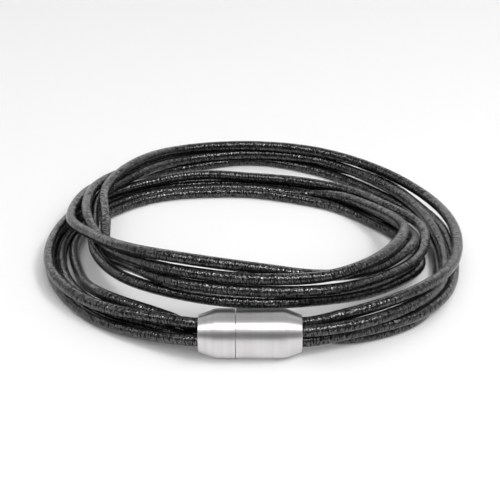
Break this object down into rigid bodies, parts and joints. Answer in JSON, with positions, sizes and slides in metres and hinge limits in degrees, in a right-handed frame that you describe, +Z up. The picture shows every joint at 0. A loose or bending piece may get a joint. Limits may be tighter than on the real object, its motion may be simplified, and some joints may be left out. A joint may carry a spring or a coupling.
{
  "type": "leather cord bracelet",
  "caption": "Black leather cord bracelet wound in two turns, both ends of each cord held in a satin steel barrel clasp, lying flat.",
  "frame": {"origin": "middle of the bracelet's outline seen from above, at the floor that it lies on", "axes": "+Z up from the floor, +Y from the clasp towards the far side, +X to the right with the clasp in front"},
  "size_m": [0.077, 0.0815, 0.0141],
  "materials": {
    "leather": "glossy dyed black, fine cross wrinkles",
    "clasp_steel": "satin, turned",
    "magnet": "nickel plated"
  },
  "bodies": {
    "root": {"cord_1": "leather", "cord_2": "leather", "cord_3": "leather", "cord_4": "leather", "clasp_short_half": "clasp_steel", "clasp_long_half": "clasp_steel", "magnet_short_half": "magnet", "magnet_long_half": "magnet"}
  },
  "joints": []
}
